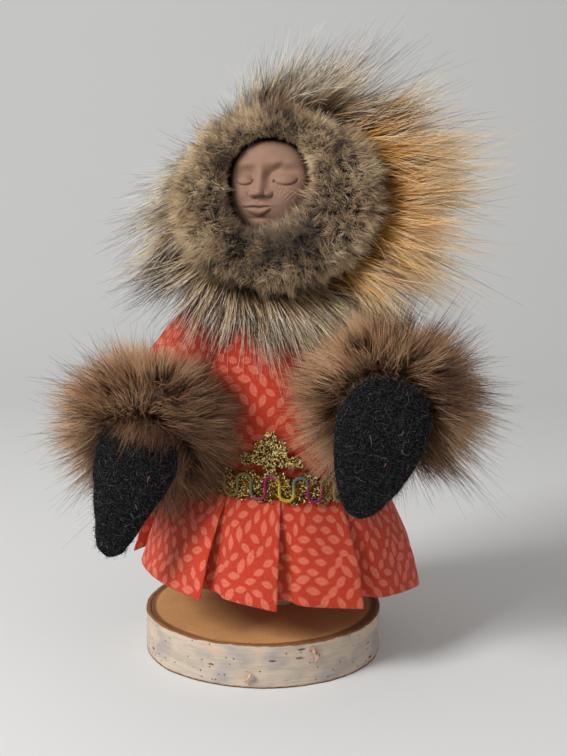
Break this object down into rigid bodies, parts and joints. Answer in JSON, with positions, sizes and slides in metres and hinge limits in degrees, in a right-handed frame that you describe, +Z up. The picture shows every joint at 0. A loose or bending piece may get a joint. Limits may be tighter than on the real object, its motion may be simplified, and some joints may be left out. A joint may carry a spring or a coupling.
{
  "type": "fur-trimmed parka doll",
  "caption": "Small standing cloth doll in a printed parka with a fur ruff, fur cuffs, felt mittens, a clay face and a pleated skirt, on a birch slice.",
  "frame": {"origin": "centre of the birch slice's flat underside", "axes": "+Z up, the doll faces -Y, +X toward the doll's left hand"},
  "size_m": [0.0998, 0.0785, 0.1505],
  "materials": {
    "birch_wood": "sanded end grain, unvarnished",
    "birch_bark": "natural papery bark",
    "dowel_wood": "plain turned dowel",
    "wire": "drawn soft wire",
    "stuffing": "polyester stuffing",
    "printed_cotton": "plain weave cotton with a leaf print",
    "gold_braid": "metallic gimp braid",
    "black_felt": "matt wool felt",
    "face_clay": "matt pressed clay",
    "cuff_fur": "dense brown fur with dark guard hair",
    "plush_fur": "short dense grey-brown fur",
    "guard_fur": "long banded guard hair"
  },
  "bodies": {
    "stand": {"birch_slice": "birch_wood", "birch_bark": "birch_bark", "support_dowel": "dowel_wood", "shoulder_wire": "wire", "torso_padding": "stuffing", "parka_bodice": "printed_cotton", "parka_skirt": "printed_cotton", "waist_braid": "gold_braid", "front_ornament": "gold_braid"},
    "head": {"head_padding": "stuffing", "face": "face_clay", "hood": "printed_cotton", "inner_ruff": "plush_fur", "outer_ruff": "guard_fur"},
    "right_arm": {"right_arm_wire": "wire", "right_arm_padding": "stuffing", "right_sleeve": "printed_cotton", "right_cuff": "cuff_fur"},
    "right_hand": {"right_mitten_wire": "wire", "right_mitten_palm": "black_felt", "right_mitten_back": "black_felt"},
    "left_arm": {"left_arm_wire": "wire", "left_arm_padding": "stuffing", "left_sleeve": "printed_cotton", "left_cuff": "cuff_fur"},
    "left_hand": {"left_mitten_wire": "wire", "left_mitten_palm": "black_felt", "left_mitten_back": "black_felt"}
  },
  "joints": [
    {"name": "head_turn", "type": "hinge", "parent": "stand", "child": "head", "pos_m": [0.0045, 0, 0.0973], "axis": [0, 0, 1], "range_deg": [-10, 10]},
    {"name": "right_shoulder", "type": "hinge", "parent": "stand", "child": "right_arm", "pos_m": [-0.0172, 0, 0.081], "axis": [-1, 0, 0], "range_deg": [-6, 12]},
    {"name": "right_wrist", "type": "hinge", "parent": "right_arm", "child": "right_hand", "pos_m": [-0.02936, -0.0313, 0.05955], "axis": [-0.9561, 0, 0.293], "range_deg": [-12, 12]},
    {"name": "left_shoulder", "type": "hinge", "parent": "stand", "child": "left_arm", "pos_m": [0.0262, 0, 0.081], "axis": [-1, 0, 0], "range_deg": [-10, 6]},
    {"name": "left_wrist", "type": "hinge", "parent": "left_arm", "child": "left_hand", "pos_m": [0.02909, -0.03951, 0.07116], "axis": [-0.9902, 0, 0.1394], "range_deg": [-12, 12]}
  ]
}
